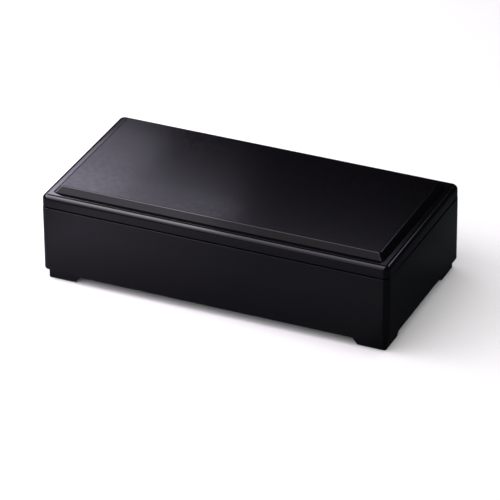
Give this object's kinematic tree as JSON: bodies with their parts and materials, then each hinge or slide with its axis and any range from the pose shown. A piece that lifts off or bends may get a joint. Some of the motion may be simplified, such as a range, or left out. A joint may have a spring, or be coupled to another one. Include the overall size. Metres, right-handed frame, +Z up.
{
  "type": "stacking lacquer box",
  "caption": "Long low rectangular lacquered stacking box: a tier on a base cut away between its corner feet, with a lift-off lid that has a raised bevelled panel.",
  "frame": {"origin": "centre of the footprint, on the surface that the four feet stand on", "axes": "+X to the right along the length, +Y from the front to the back, +Z up"},
  "size_m": [0.364, 0.182, 0.099],
  "materials": {
    "outside_lacquer": "black lacquer over wood, polished to a gloss",
    "panel_lacquer": "black lacquer over wood, rubbed to a fine satin",
    "inside_lacquer": "vermilion lacquer over wood, semi-gloss",
    "core_wood": "bare planed wood"
  },
  "bodies": {
    "tier": {"tier_wall_front": "outside_lacquer", "tier_wall_right": "outside_lacquer", "tier_wall_back": "outside_lacquer", "tier_wall_left": "outside_lacquer", "tier_floor": "inside_lacquer", "tier_tongue_front_left": "core_wood", "tier_tongue_front_right": "core_wood", "tier_tongue_back_right": "core_wood", "tier_tongue_back_left": "core_wood", "base_rail_front": "outside_lacquer", "base_rail_right": "outside_lacquer", "base_rail_back": "outside_lacquer", "base_rail_left": "outside_lacquer"},
    "lid": {"lid_rail_front": "outside_lacquer", "lid_rail_right": "outside_lacquer", "lid_rail_back": "outside_lacquer", "lid_rail_left": "outside_lacquer", "lid_tongue_front_left": "core_wood", "lid_tongue_front_right": "core_wood", "lid_tongue_back_right": "core_wood", "lid_tongue_back_left": "core_wood", "lid_panel": "panel_lacquer", "lid_lip_front": "outside_lacquer", "lid_lip_right": "outside_lacquer", "lid_lip_back": "outside_lacquer", "lid_lip_left": "outside_lacquer"}
  },
  "joints": [
    {"name": "lid_lift", "type": "slide", "parent": "tier", "child": "lid", "axis": [0, 0, 1], "range_m": [0, 0.12]}
  ]
}
